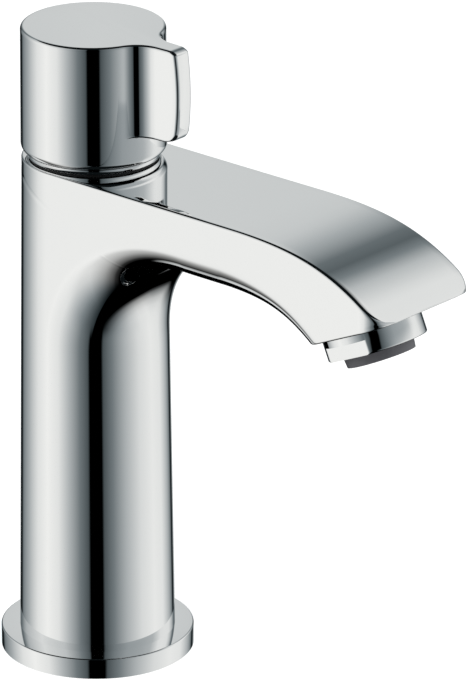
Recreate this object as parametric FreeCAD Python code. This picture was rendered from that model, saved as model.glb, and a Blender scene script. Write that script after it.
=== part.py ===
import FreeCAD, Part
import math
import os
from FreeCAD import Vector

# Basin pillar tap with a cylinder handle, in millimetres.
# +Z is up, the origin is on the column axis at the deck, and the spout points along -Y.

# Foot flange on the deck
flange_radius = 26.0
flange_height = 5.6
flange_edge_round = 0.4
flange_bore = 17.4

# Base seal in the underside of the flange
seal_inner_radius = 19.6
seal_outer_radius = 23.0
seal_height = 1.6

# Column of the casting
column_foot_radius = 20.95
column_top_radius = 19.2
column_height = 134.4
column_wall = 3.4
column_lap = 4.0
column_lap_wall = 1.7

# Spout of the casting
spout_half_width = 18.9
spout_reach = 114.45
spout_tip_drop = 14.85
spout_thickness = 17.4
spout_flat_top = 64.0
spout_flat_underside = 60.0
spout_low_round = 6.0
spout_heel_round = 3.0
spout_root_height = 30.0
spout_root_length = 25.5
spout_root_sink = 0.05
spout_root_lead = 6.0
spout_root_steps = 24
spout_plan_corner = 5.0
mouth_run = 23.85
heel_edge_round = 1.0
mouth_tilt = 24.0

# Reach of the curve handles in the spout's bend, as shares of the bend
top_bend_start = 0.48
top_bend_end = 0.28
top_bend_fall = 0.27
low_bend_start = 0.53
low_bend_end = 0.27
low_bend_rise = 0.3

# Waterway through the spout
duct_half_width = 9.5
duct_wall = 3.6
duct_step = 1.5
duct_start = 10.5
duct_throat_end = 17.5
duct_rise_end = 24.5
duct_floor_end = 74.0
duct_roof_end = 72.0
duct_end_half_width = 5.6
duct_shoulder_reach = 2.5
duct_shoulder_drop = 2.6

# Aerator, square to the mouth of the spout
aerator_setback = 19.1
collar_radius = 13.35
collar_height = 6.5
collar_edge_round = 0.5
collar_flat_distance = 11.3
collar_flat_height = 3.9
collar_flat_turn = 12.0
aerator_thread_radius = 12.0
aerator_thread_length = 7.0
collar_bore_radius = 10.4
collar_lip_radius = 9.75
collar_lip_height = 0.8
aerator_seal_height = 1.6
aerator_seal_play = 0.4
aerator_boss_wall = 2.6
aerator_boss_depth = 13.9
mouth_chamber_radius = 9.4
mouth_chamber_height = 3.0
insert_radius = 9.6
insert_face_radius = 9.2
insert_drop = 2.8
insert_flange_height = 1.6
jet_radius = 0.55
jet_ring_pitch = 2.0
jet_ring_count = 3
jets_added_per_ring = 6
core_wall = 1.3
core_floor = 1.6
core_slot_start = 2.6
core_slot_length = 4.6
core_slot_width = 1.4
core_slot_count = 8
regulator_height = 3.0
regulator_bore = 3.2
regulator_groove_inner = 5.0
regulator_groove_outer = 7.6
regulator_floor = 1.2
sieve_height = 3.6
sieve_wall = 0.5
sieve_rim_height = 0.6
sieve_rim_width = 1.6
sieve_hole_radius = 0.6
sieve_hole_pitch = 2.0

# Seat block and valve bore in the head of the column
seat_depth = 32.0
seat_block_depth = 45.0
inlet_hole_radius = 5.0
skirt_bore = 9.3
skirt_bore_height = 11.0
valve_chamber_radius = 12.5
valve_chamber_height = 9.0
land_bore = 10.0
land_height = 3.5
valve_thread_radius = 10.5

# Ceramic discs and their seal
disc_radius = 8.2
disc_height = 3.0
disc_port_inner = 1.9
disc_port_outer = 6.6
disc_port_angle = 80.0
disc_seal_height = 2.8
disc_seal_lip = 0.8
disc_seal_lip_height = 1.4
disc_film = 0.02
disc_slot_depth = 1.4
disc_slot_length = 14.2
disc_slot_width = 3.8

# Headpart that carries the spindle
headpart_seat_gap = 0.4
skirt_wall = 0.8
skirt_inner_height = 16.1
window_width = 10.0
window_height = 4.4
headpart_flange_radius = 12.6
headpart_flange_height = 1.5
headpart_hex = 22.0
headpart_hex_height = 5.5
headpart_neck_radius = 8.0
headpart_neck_height = 6.0
land_lead = 0.3
land_run_out = 0.5
housing_groove_radius = 8.3
housing_groove_width = 2.0
housing_ring_section = 0.8
nut_chamfer = 1.5

# Spindle
spindle_radius = 4.95
spindle_groove_radius = 3.75
spindle_groove_width = 2.0
spindle_ring_pitch = 6.0
spindle_ring_depth = 5.0
spindle_collar_radius = 7.6
spindle_collar_height = 2.0
thrust_washer_height = 0.5
driver_width = 5.0
driver_height = 2.5
driver_stem_radius = 4.5
spline_radius = 4.0
spline_length = 12.2
spline_groove_radius = 0.32
spline_groove_count = 20
clip_height = 0.9
clip_radius = 7.0
clip_gap_angle = 70.0
clip_shoulder = 0.6

# Handle
handle_gap = 0.5
handle_height = 35.5
handle_foot_radius = 19.4
handle_top_radius = 19.2
handle_foot_round = 2.0
handle_top_round = 0.35
handle_bore = 17.35
handle_bore_height = 9.5
handle_wall = 2.6
handle_roof = 5.0
hub_radius = 10.6
hub_height = 15.0
grip_reach = 31.4
grip_belly = 0.9
grip_height = 24.2
grip_root_half_width = 2.6
grip_taper = 6.0
grip_root_round = 7.0
grip_toe_round = 3.0
grip_edge_round = 0.5
grip_sink = 0.15

# Spline adapter, its screw and the plug over the screw
adapter_radius = 7.5
adapter_height = 12.5
adapter_roof = 1.5
screw_radius = 2.0
screw_length = 9.0
screw_socket_radius = 1.15
screw_socket_depth = 2.5
screw_drop = 13.5
plug_radius = 2.6
plug_length = 2.6
plug_bore_start = 12.6
screw_boss_radius = 4.6

# Guide ring between casting and handle
guide_ring_height = 7.0
guide_ring_radius = 17.2
guide_ring_inner = 13.2
guide_ring_chamfer = 0.5

# Riser between shank and seat block
riser_radius = 6.0
riser_wall = 1.0
riser_socket_depth = 7.0
riser_ring_place = 3.5
riser_groove_width = 2.2
riser_groove_depth = 1.65
riser_ring_section = 0.8

# Shank below the column
plug_thread_radius = 17.3
plug_thread_length = 12.4
plug_thread_run_out = 1.5
plug_wall = 3.0
plug_floor = 2.0
spigot_radius = 16.6
spigot_depth = 5.0
shank_hub_radius = 9.2
shank_hub_height = 10.0
tail_radius = 10.48
tail_length = 53.0
tail_bore = 5.2
tail_chamfer = 1.0
connector_thread_length = 22.0
tail_groove_radius = 9.5
tail_groove_width = 2.0

# Fixing under the deck
deck_thickness = 18.0
clamp_radius = 21.0
gasket_height = 2.0
washer_height = 2.0
backnut_across_flats = 30.0
backnut_height = 8.0
backnut_collar_radius = 17.5
backnut_collar_height = 2.0

# Clearances
screwed_gap = 0.05
running_gap = 0.05
seal_gap = 0.04
slip_gap = 0.1
washer_gap = 0.15
clip_gap = 0.02
loose_gap = 0.3

# Heights and places that follow
body_top = flange_height + column_height
heel_reach = spout_reach - mouth_run
aerator_reach = spout_reach - aerator_setback
seat_height = body_top - seat_depth
block_bottom = body_top - seat_block_depth
column_end = block_bottom + column_lap
fixed_disc_height = seat_height + disc_seal_height
moving_disc_height = fixed_disc_height + disc_height + disc_film
driver_bottom = moving_disc_height + disc_height
headpart_bottom = seat_height + headpart_seat_gap
headpart_ceiling = headpart_bottom + skirt_inner_height
headpart_top = body_top + headpart_flange_height + headpart_hex_height + headpart_neck_height
handle_bottom = body_top + handle_gap
handle_top = handle_bottom + handle_height
hub_bottom = handle_top - handle_roof - hub_height
adapter_top = handle_top - handle_roof - (hub_height - adapter_height)
screw_level = handle_top - screw_drop
spigot_bottom = -spigot_depth
tail_end = spigot_bottom - tail_length
shank_hub_top = plug_floor + shank_hub_height
riser_low = shank_hub_top - riser_socket_depth
riser_high = block_bottom + riser_socket_depth
regulator_low = aerator_thread_length - sieve_rim_height - regulator_height
spindle_collar_top = headpart_ceiling - thrust_washer_height - running_gap
tilt = math.radians(mouth_tilt)
underside = body_top - spout_thickness
root_start = underside - spout_root_height
root_low = root_start - spout_root_lead


def cylinder(radius, low, high):
    return Part.makeCylinder(radius, high - low, Vector(0, 0, low))


def tube(inner, outer, low, high):
    return cylinder(outer, low, high).cut(cylinder(inner, low, high))


def box(width, depth, low, high):
    """A block centred on the axis."""
    corner = Vector(-width / 2, -depth / 2, low)
    return Part.makeBox(width, depth, high - low, corner)


def hexagon(across_flats, low, high):
    """A nut body with its corners chamfered at both ends."""
    corner_radius = across_flats / math.sqrt(3)
    turns = [math.radians(60 * i) for i in range(7)]
    points = [Vector(corner_radius * math.cos(t), corner_radius * math.sin(t), low) for t in turns]
    nut = Part.Face(Part.makePolygon(points)).extrude(Vector(0, 0, high - low))
    end_radius = corner_radius - nut_chamfer
    half = (high - low) / 2
    lower = Part.makeCone(end_radius, end_radius + half, half, Vector(0, 0, low))
    upper = Part.makeCone(end_radius + half, end_radius, half, Vector(0, 0, low + half))
    return nut.common(lower.fuse(upper))


def side_line(start, end, x):
    """A straight edge in the plane X = x between two (reach, height) points."""
    return Part.LineSegment(Vector(x, -start[0], start[1]), Vector(x, -end[0], end[1])).toShape()


def side_curve(poles, x):
    """A smooth edge in the plane X = x from (reach, height) poles."""
    curve = Part.BezierCurve()
    curve.setPoles([Vector(x, -reach, height) for reach, height in poles])
    return curve.toShape()


def extrude_side(edges, width):
    return Part.Face(Part.Wire(edges)).extrude(Vector(width, 0, 0))


def edges_where(shape, test):
    return [edge for edge in shape.Edges if test(edge.BoundBox)]


def on_aerator_axis(shape):
    """Move a piece made about Z, with height 0 at the mouth, onto the tilted aerator axis."""
    placed = shape.copy()
    placed.rotate(Vector(0, 0, 0), Vector(1, 0, 0), -mouth_tilt)
    placed.translate(Vector(0, -aerator_reach, mouth_level(aerator_reach)))
    return placed


def mouth_level(reach):
    """Height of the mouth plane at a distance from the column axis."""
    return body_top - spout_tip_drop - (spout_reach - reach) * math.tan(tilt)


def column_radius(height):
    share = (height - flange_height) / column_height
    return column_foot_radius + (column_top_radius - column_foot_radius) * share


def plan_prism():
    """The straight-sided outline of the spout from above, with its rounded tip corners."""
    half = spout_half_width
    corner = spout_plan_corner
    inset = corner * (1 - math.sqrt(0.5))
    straight = spout_reach - corner
    low = body_top - 2 * spout_thickness

    def at(x, reach):
        return Vector(x, -reach, low)

    edges = [
        Part.LineSegment(at(-half, 0), at(-half, straight)).toShape(),
        Part.Arc(at(-half, straight), at(-half + inset, spout_reach - inset),
                 at(-half + corner, spout_reach)).toShape(),
        Part.LineSegment(at(-half + corner, spout_reach), at(half - corner, spout_reach)).toShape(),
        Part.Arc(at(half - corner, spout_reach), at(half - inset, spout_reach - inset),
                 at(half, straight)).toShape(),
        Part.LineSegment(at(half, straight), at(half, 0)).toShape(),
        Part.LineSegment(at(half, 0), at(-half, 0)).toShape(),
    ]
    return Part.Face(Part.Wire(edges)).extrude(Vector(0, 0, 2 * spout_thickness))


def under_root():
    """The room under the spout, whose inner wall sweeps from the column to the flat underside."""
    inner = column_radius(root_start) - spout_root_sink
    outer = inner + spout_root_length
    far = 2 * spout_reach
    arc = []
    for step in range(spout_root_steps + 1):
        turn = step / spout_root_steps * math.pi / 2
        arc.append(Vector(outer - spout_root_length * math.cos(turn), 0,
                          root_start + spout_root_height * math.sin(turn)))
    curve = Part.BSplineCurve()
    curve.interpolate(arc, InitialTangent=Vector(0, 0, 1), FinalTangent=Vector(1, 0, 0))
    outline = [
        Part.LineSegment(Vector(inner, 0, root_low), arc[0]).toShape(),
        curve.toShape(),
        Part.LineSegment(arc[-1], Vector(far, 0, underside)).toShape(),
        Part.LineSegment(Vector(far, 0, underside), Vector(far, 0, root_low)).toShape(),
        Part.LineSegment(Vector(far, 0, root_low), Vector(inner, 0, root_low)).toShape(),
    ]
    room = Part.Face(Part.Wire(outline)).revolve(Vector(0, 0, 0), Vector(0, 0, 1), 360)
    return room.common(Part.makeBox(2 * far, spout_flat_underside, 2 * body_top,
                                    Vector(-far, -spout_flat_underside, 0)))


def spout_solid():
    """The spout: flat top that bends down to the tip, tilted mouth, rounded lower edges."""
    x = -spout_half_width
    tip = (spout_reach, body_top - spout_tip_drop)
    heel = (heel_reach, mouth_level(heel_reach))
    bend = spout_reach - spout_flat_top
    belly = heel_reach - spout_flat_underside
    top_poles = [
        (spout_flat_top, body_top),
        (spout_flat_top + top_bend_start * bend, body_top),
        (spout_reach - top_bend_end * bend, body_top - top_bend_fall * spout_tip_drop),
        tip,
    ]
    low_poles = [
        heel,
        (heel_reach - low_bend_end * belly, underside - low_bend_rise * (underside - heel[1])),
        (spout_flat_underside + low_bend_start * belly, underside),
        (spout_flat_underside, underside),
    ]
    edges = [
        side_line((0, body_top), top_poles[0], x),
        side_curve(top_poles, x),
        side_line(tip, heel, x),
        side_curve(low_poles, x),
        side_line(low_poles[-1], (spout_flat_underside, root_low), x),
        side_line((spout_flat_underside, root_low), (0, root_low), x),
        side_line((0, root_low), (0, body_top), x),
    ]
    spout = extrude_side(edges, 2 * spout_half_width).common(plan_prism()).cut(under_root())
    sides = edges_where(spout, lambda b: b.ZMax < underside + 0.1 and b.XMax - b.XMin < 0.01
                        and b.YMax < -1 and b.YMin > -heel_reach - 0.1 and b.ZMax > root_low + 0.1)
    spout = spout.makeFillet(spout_low_round, spout_heel_round, sides)
    heel_edges = edges_where(spout, lambda b: abs(b.ZMax - heel[1]) < 0.1
                             and abs(b.YMin + heel_reach) < 0.1 and b.XMax - b.XMin > 10)
    return spout.makeFillet(heel_edge_round, heel_edges)


def outer_casting():
    """Tapered column and spout in one piece."""
    cone = Part.makeCone(column_foot_radius, column_top_radius, column_height,
                         Vector(0, 0, flange_height))
    return cone.fuse(spout_solid()).removeSplitter()


def aerator_boss():
    """Round boss under the spout that holds the aerator's thread."""
    boss = cylinder(aerator_thread_radius + aerator_boss_wall, 0, spout_thickness)
    keep = Part.makeBox(4 * spout_half_width, 2 * spout_reach, body_top - aerator_boss_depth,
                        Vector(-2 * spout_half_width, -2 * spout_reach, 0))
    return on_aerator_axis(boss).common(keep)


def waterway():
    """Duct from the valve chamber along the spout to the chamber over the aerator."""
    roof = body_top - duct_wall
    floor = body_top - spout_thickness + duct_wall
    throat_floor = seat_height + skirt_bore_height + duct_step
    throat_roof = seat_height + skirt_bore_height + valve_chamber_height - duct_step
    depth = aerator_thread_length + aerator_seal_height + mouth_chamber_height / 2
    end_reach = aerator_reach - depth * math.sin(tilt)
    end_level = mouth_level(aerator_reach) + depth * math.cos(tilt)
    across = duct_end_half_width * math.cos(tilt)
    down = duct_end_half_width * math.sin(tilt)
    points = [
        (duct_start, throat_floor),
        (duct_throat_end, throat_floor),
        (duct_rise_end, floor),
        (duct_floor_end, floor),
        (end_reach - across, end_level - down),
        (end_reach + across, end_level + down),
        (end_reach + duct_shoulder_reach, roof - duct_shoulder_drop),
        (duct_roof_end, roof),
        (duct_rise_end, roof),
        (duct_throat_end, throat_roof),
        (duct_start, throat_roof),
    ]
    corners = points + points[:1]
    edges = [side_line(a, b, -duct_half_width) for a, b in zip(corners, corners[1:])]
    return extrude_side(edges, 2 * duct_half_width)


def valve_bore():
    """Stepped bore for the headpart, down to the seat and the inlet hole."""
    skirt_top = seat_height + skirt_bore_height
    chamber_top = skirt_top + valve_chamber_height
    land_top = chamber_top + land_height
    steps = [
        (inlet_hole_radius, block_bottom, seat_height),
        (skirt_bore, seat_height, skirt_top),
        (valve_chamber_radius, skirt_top, chamber_top),
        (land_bore, chamber_top, land_top),
        (valve_thread_radius, land_top, body_top),
    ]
    bore = cylinder(*steps[0])
    for step in steps[1:]:
        bore = bore.fuse(cylinder(*step))
    return bore


def riser_socket(low):
    """Bore for one end of the riser with its O-ring groove."""
    socket = cylinder(riser_radius + running_gap, low, low + riser_socket_depth)
    level = low + riser_ring_place
    half = riser_groove_width / 2
    return socket.fuse(cylinder(riser_radius + riser_groove_depth, level - half, level + half))


def aerator_bore():
    mouth = cylinder(aerator_thread_radius, 0, aerator_thread_length + aerator_seal_height)
    top = aerator_thread_length + aerator_seal_height + mouth_chamber_height
    chamber = cylinder(mouth_chamber_radius, 0, top)
    return on_aerator_axis(mouth.fuse(chamber))


def below_casting():
    """Everything under the casting: the column's room and the lap around the seat block."""
    room = cylinder(2 * column_foot_radius, flange_height, block_bottom)
    lap_radius = column_radius(column_end) - column_lap_wall
    return room.fuse(tube(lap_radius, 2 * column_foot_radius, block_bottom, column_end))


def body():
    """Brass casting: head, spout and seat block, lapped into the column."""
    casting = outer_casting().fuse(aerator_boss()).removeSplitter()
    casting = casting.cut(below_casting())
    casting = casting.cut(riser_socket(block_bottom))
    casting = casting.cut(valve_bore())
    casting = casting.cut(waterway())
    return casting.cut(aerator_bore())


def column():
    """Tapered tube between foot plate and casting, soldered on flush."""
    thread_top = flange_height + plug_thread_length
    part = Part.makeCone(column_foot_radius, column_radius(column_end), column_end - flange_height,
                         Vector(0, 0, flange_height))
    part = part.cut(Part.makeCone(plug_thread_radius, column_radius(block_bottom) - column_wall,
                                  block_bottom - thread_top, Vector(0, 0, thread_top)))
    part = part.cut(cylinder(plug_thread_radius, flange_height, thread_top))
    lap_radius = column_radius(column_end) - column_lap_wall
    return part.cut(cylinder(lap_radius + running_gap, block_bottom, column_end))


def base_flange():
    """Round foot plate that covers the tap hole."""
    flange = cylinder(flange_radius, 0, flange_height)
    rim = edges_where(flange, lambda b: b.ZMin > flange_height - 0.01)
    flange = flange.makeFillet(flange_edge_round, rim)
    flange = flange.cut(cylinder(flange_bore, 0, flange_height))
    return flange.cut(tube(seal_inner_radius, seal_outer_radius, 0, seal_height))


def base_seal():
    return tube(seal_inner_radius + seal_gap, seal_outer_radius - seal_gap, 0, seal_height)


def shank():
    """Brass plug screwed into the column, with centring spigot and threaded tail."""
    plug_top = flange_height + plug_thread_length
    part = cylinder(plug_thread_radius - screwed_gap, flange_height - plug_thread_run_out, plug_top)
    part = part.fuse(cylinder(spigot_radius, spigot_bottom, flange_height))
    part = part.fuse(cylinder(tail_radius, tail_end, spigot_bottom))
    foot = edges_where(part, lambda b: b.ZMax < tail_end + 0.01)
    part = part.makeChamfer(tail_chamfer, foot)
    groove_low = tail_end + connector_thread_length
    part = part.cut(tube(tail_groove_radius, 2 * tail_radius, groove_low, groove_low + tail_groove_width))
    part = part.cut(cylinder(plug_thread_radius - plug_wall, plug_floor, plug_top))
    part = part.fuse(cylinder(shank_hub_radius, spigot_bottom, shank_hub_top))
    part = part.cut(cylinder(tail_bore, tail_end, shank_hub_top))
    return part.cut(riser_socket(riser_low))


def riser_tube():
    return tube(riser_radius - riser_wall, riser_radius, riser_low, riser_high)


def o_ring(radius, section, level):
    """A ring of round section about the Z axis."""
    return Part.makeTorus(radius, section, Vector(0, 0, level))


def riser_o_rings():
    """Two O-rings that seal the riser in its sockets."""
    radius = riser_radius + running_gap + riser_ring_section
    levels = (riser_low + riser_ring_place, block_bottom + riser_ring_place)
    return Part.makeCompound([o_ring(radius, riser_ring_section, level) for level in levels])


def clamp_gasket():
    return tube(tail_radius + loose_gap, clamp_radius, -deck_thickness - gasket_height, -deck_thickness)


def clamp_washer():
    top = -deck_thickness - gasket_height
    return tube(tail_radius + loose_gap, clamp_radius, top - washer_height, top)


def backnut():
    """Hexagon nut with a pressing collar."""
    top = -deck_thickness - gasket_height - washer_height
    low = top - backnut_height
    nut = hexagon(backnut_across_flats, low, top - backnut_collar_height)
    nut = nut.fuse(cylinder(backnut_collar_radius, top - backnut_collar_height, top))
    return nut.cut(cylinder(tail_radius + screwed_gap, low, top))


def sector(radius, low, high, start, angle):
    """A slice of a cylinder about the Z axis, from one angle over another."""
    piece = Part.makeCylinder(radius, high - low, Vector(0, 0, low), Vector(0, 0, 1), angle)
    piece.rotate(Vector(0, 0, 0), Vector(0, 0, 1), start)
    return piece


def disc_ports(low, high, middle):
    """Two opposite sector holes through a ceramic disc, about the angle middle."""
    start = middle - disc_port_angle / 2
    ports = [sector(disc_port_outer, low, high, turn, disc_port_angle) for turn in (start, start + 180)]
    return Part.makeCompound(ports).cut(cylinder(disc_port_inner, low, high))


def valve_seat_seal():
    """Rubber seal ring under the fixed disc."""
    seal = tube(disc_port_outer, disc_radius, seat_height, fixed_disc_height)
    middle = (seat_height + fixed_disc_height) / 2
    half = disc_seal_lip_height / 2
    lip = tube(disc_port_outer - disc_seal_lip, disc_radius, middle - half, middle + half)
    return seal.fuse(lip)


def fixed_disc():
    low = fixed_disc_height
    high = low + disc_height
    return cylinder(disc_radius, low, high).cut(disc_ports(low, high, 0))


def moving_disc():
    low = moving_disc_height
    high = low + disc_height
    disc = cylinder(disc_radius, low, high).cut(disc_ports(low, high, 90))
    return disc.cut(box(disc_slot_length, disc_slot_width, high - disc_slot_depth, high))


def spindle_ring_levels():
    first = body_top - spindle_ring_depth
    return [first, first + spindle_ring_pitch]


def spindle_driver():
    """Crossbar and tongue that turn the moving disc, with the stem above them."""
    bar_low = driver_bottom + disc_film
    bar_top = driver_bottom + driver_height
    tongue = box(disc_slot_length - 2 * slip_gap, disc_slot_width - 2 * slip_gap,
                 driver_bottom - disc_slot_depth + slip_gap, bar_top)
    bar = box(2 * disc_radius, driver_width, bar_low, bar_top)
    bar = bar.common(cylinder(disc_radius - loose_gap, bar_low, bar_top))
    stem = cylinder(driver_stem_radius, bar_top, spindle_collar_top)
    return tongue.fuse(bar).fuse(stem)


def spline(low):
    """Grooved top of the spindle."""
    part = cylinder(spline_radius, low, low + spline_length)
    step = 360 / spline_groove_count
    for index in range(spline_groove_count):
        groove = Part.makeCylinder(spline_groove_radius, spline_length, Vector(spline_radius, 0, low))
        groove.rotate(Vector(0, 0, 0), Vector(0, 0, 1), step * index)
        part = part.cut(groove)
    return part


def spindle():
    """Brass spindle: driver, retaining collar, two O-ring grooves, clip groove and spline."""
    clip_low = headpart_top + running_gap
    clip_high = clip_low + clip_height
    shaft_top = clip_high + clip_shoulder
    collar_low = spindle_collar_top - spindle_collar_height
    part = spindle_driver()
    part = part.fuse(cylinder(spindle_collar_radius, collar_low, spindle_collar_top))
    part = part.fuse(cylinder(spindle_radius, spindle_collar_top, shaft_top))
    part = part.fuse(spline(shaft_top))
    half = spindle_groove_width / 2
    for level in spindle_ring_levels():
        part = part.cut(tube(spindle_groove_radius, 2 * spindle_radius, level - half, level + half))
    return part.cut(tube(spline_radius, 2 * spindle_radius, clip_low - clip_gap, clip_high + clip_gap))


def spindle_o_rings():
    section = (spindle_radius - spindle_groove_radius) / 2 - clip_gap / 2
    radius = (spindle_radius + spindle_groove_radius) / 2
    return Part.makeCompound([o_ring(radius, section, level) for level in spindle_ring_levels()])


def spindle_clip():
    """Open spring clip in the groove above the headpart."""
    low = headpart_top + running_gap
    high = low + clip_height
    clip = tube(spline_radius + clip_gap, clip_radius, low, high)
    return clip.cut(sector(2 * clip_radius, low, high, 0, clip_gap_angle))


def thrust_washer():
    """Low-friction washer between the spindle collar and the headpart."""
    return tube(spindle_radius + washer_gap, spindle_collar_radius,
                headpart_ceiling - thrust_washer_height, headpart_ceiling)


def housing_ring_level():
    return seat_height + skirt_bore_height + valve_chamber_height + land_height / 2


def valve_housing():
    """Brass headpart: skirt with outlet windows, O-ring land, thread, hexagon and neck."""
    skirt_outer = skirt_bore - slip_gap
    land_low = seat_height + skirt_bore_height + valve_chamber_height + land_lead
    land_top = land_low - land_lead + land_height + land_run_out
    flange_top = body_top + headpart_flange_height
    hex_top = flange_top + headpart_hex_height
    part = cylinder(skirt_outer, headpart_bottom, land_low)
    part = part.fuse(cylinder(land_bore - slip_gap, land_low, land_top))
    part = part.fuse(cylinder(valve_thread_radius - screwed_gap, land_top, body_top))
    part = part.fuse(cylinder(headpart_flange_radius, body_top, flange_top))
    part = part.fuse(hexagon(headpart_hex, flange_top, hex_top))
    part = part.fuse(cylinder(headpart_neck_radius, hex_top, headpart_top))
    part = part.cut(cylinder(skirt_outer - skirt_wall, headpart_bottom, headpart_ceiling))
    part = part.cut(cylinder(spindle_radius + running_gap, headpart_ceiling, headpart_top))
    part = part.cut(box(4 * skirt_bore, window_width, headpart_ceiling - window_height, headpart_ceiling))
    level = housing_ring_level()
    half = housing_groove_width / 2
    return part.cut(tube(housing_groove_radius, 2 * land_bore, level - half, level + half))


def housing_o_ring():
    return o_ring(land_bore - seal_gap - housing_ring_section, housing_ring_section, housing_ring_level())


def guide_ring():
    """Dark plastic ring that centres the handle on the casting."""
    top = body_top + guide_ring_height
    part = tube(guide_ring_inner, guide_ring_radius, body_top, top)
    rim = edges_where(part, lambda b: b.ZMin > top - 0.01 and b.XMax > guide_ring_radius - 0.01)
    return part.makeChamfer(guide_ring_chamfer, rim)


def grip_plan(low):
    """Outline of the grip from above: tapering sides that sweep out into the cylinder."""
    slope = math.radians(grip_taper)
    inner = handle_top_radius - grip_sink
    centre_x = grip_root_half_width + grip_root_round * math.cos(slope)
    centre_reach = math.sqrt((inner + grip_root_round) ** 2 - centre_x ** 2)
    start = math.atan2(centre_reach, centre_x)
    end = slope
    middle = (start + end) / 2

    def on_sweep(angle):
        x = centre_x - grip_root_round * math.cos(angle)
        return x, centre_reach - grip_root_round * math.sin(angle)

    root_x, root_reach = on_sweep(end)
    far = 1.5 * grip_reach
    far_x = root_x - (far - root_reach) * math.tan(slope)
    near_x, near_reach = on_sweep(start)
    middle_x, middle_reach = on_sweep(middle)

    def at(x, reach):
        return Vector(x, -reach, low)

    edges = [
        Part.LineSegment(at(-near_x, near_reach), at(near_x, near_reach)).toShape(),
        Part.Arc(at(near_x, near_reach), at(middle_x, middle_reach), at(root_x, root_reach)).toShape(),
        Part.LineSegment(at(root_x, root_reach), at(far_x, far)).toShape(),
        Part.LineSegment(at(far_x, far), at(-far_x, far)).toShape(),
        Part.LineSegment(at(-far_x, far), at(-root_x, root_reach)).toShape(),
        Part.Arc(at(-root_x, root_reach), at(-middle_x, middle_reach), at(-near_x, near_reach)).toShape(),
    ]
    return Part.Face(Part.Wire(edges)).extrude(Vector(0, 0, grip_height))


def grip_solid():
    """Thin tapering tab that stands out over the spout."""
    low = handle_top - grip_height
    x = -handle_foot_radius
    top_tip = (grip_reach, handle_top)
    belly = (grip_reach + grip_belly, low + 0.5 * grip_height)
    toe = (grip_reach, low)
    bow = Part.Arc(Vector(x, -top_tip[0], top_tip[1]), Vector(x, -belly[0], belly[1]),
                   Vector(x, -toe[0], toe[1])).toShape()
    edges = [side_line((0, handle_top), top_tip, x), bow,
             side_line(toe, (0, low), x), side_line((0, low), (0, handle_top), x)]
    tab = extrude_side(edges, -2 * x)
    toe_edge = edges_where(tab, lambda b: b.ZMax < low + 0.01 and b.YMax < -grip_reach + 0.1)
    tab = tab.makeFillet(grip_toe_round, toe_edge).common(grip_plan(low))
    tip_edges = edges_where(tab, lambda b: b.YMin < -grip_reach + 0.1 and b.XMax - b.XMin < 1
                            and b.ZMax - b.ZMin > 2)
    return tab.makeFillet(grip_edge_round, tip_edges)


def handle_outside():
    shell = Part.makeCone(handle_foot_radius, handle_top_radius, handle_height,
                          Vector(0, 0, handle_bottom))
    foot = edges_where(shell, lambda b: b.ZMax < handle_bottom + 0.01)
    shell = shell.makeFillet(handle_foot_round, foot)
    rim = edges_where(shell, lambda b: b.ZMin > handle_top - 0.01)
    shell = shell.makeFillet(handle_top_round, rim)
    return shell.fuse(grip_solid()).removeSplitter()


def screw_bore(radius, start, end):
    """A cylinder along +Y at the level of the handle screw."""
    return Part.makeCylinder(radius, end - start, Vector(0, start, screw_level), Vector(0, 1, 0))


def handle():
    """Metal handle: hollow cylinder with roof, hub and grip, turning on the guide ring."""
    bore_top = handle_bottom + handle_bore_height
    ceiling = handle_top - handle_roof
    part = handle_outside()
    part = part.cut(cylinder(handle_bore, handle_bottom, bore_top))
    cavity = cylinder(handle_foot_radius - handle_wall, bore_top, ceiling)
    hub = cylinder(hub_radius, hub_bottom, ceiling)
    screw_boss = screw_bore(screw_boss_radius, 0, handle_foot_radius)
    cavity = cavity.cut(hub).cut(screw_boss.common(cylinder(handle_foot_radius, hub_bottom, ceiling)))
    part = part.cut(cavity)
    part = part.cut(cylinder(adapter_radius + running_gap, hub_bottom, adapter_top))
    part = part.cut(screw_bore(screw_radius + screwed_gap, 0, plug_bore_start))
    return part.cut(screw_bore(plug_radius + screwed_gap, plug_bore_start, 2 * handle_foot_radius))


def spline_adapter():
    """Plastic bush between spindle and handle."""
    low = adapter_top - adapter_height
    part = cylinder(adapter_radius, low, adapter_top)
    part = part.cut(cylinder(spline_radius + running_gap, low, adapter_top - adapter_roof))
    return part.cut(screw_bore(screw_radius + screwed_gap, 0, 2 * adapter_radius))


def handle_screw():
    """Grub screw that presses the adapter to the spindle."""
    start = spline_radius + running_gap
    screw = screw_bore(screw_radius, start, start + screw_length)
    socket = screw_bore(screw_socket_radius, start + screw_length - screw_socket_depth, start + screw_length)
    return screw.cut(socket)


def screw_plug():
    """Small plug that closes the screw hole flush with the handle."""
    plug = screw_bore(plug_radius, handle_foot_radius - plug_length, 2 * handle_foot_radius)
    return plug.common(Part.makeCone(handle_foot_radius, handle_top_radius, handle_height,
                                     Vector(0, 0, handle_bottom)))


def aerator_housing():
    """Chromed collar with two wrench flats and the threaded sleeve above it."""
    part = cylinder(collar_radius, -collar_height, 0)
    rims = edges_where(part, lambda b: b.ZMax < -collar_height + 0.01)
    part = part.makeFillet(collar_edge_round, rims)
    part = part.fuse(cylinder(aerator_thread_radius - screwed_gap, 0, aerator_thread_length))
    part = part.cut(cylinder(collar_bore_radius, -collar_height + collar_lip_height, aerator_thread_length))
    part = part.cut(cylinder(collar_lip_radius, -collar_height, aerator_thread_length))
    for side in (-1, 1):
        x = side * (collar_flat_distance + collar_radius)
        flat = Part.makeBox(2 * collar_radius, 4 * collar_radius, collar_flat_height,
                            Vector(x - collar_radius, -2 * collar_radius, -collar_height))
        flat.rotate(Vector(0, 0, 0), Vector(0, 0, 1), collar_flat_turn)
        part = part.cut(flat)
    return on_aerator_axis(part)


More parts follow.
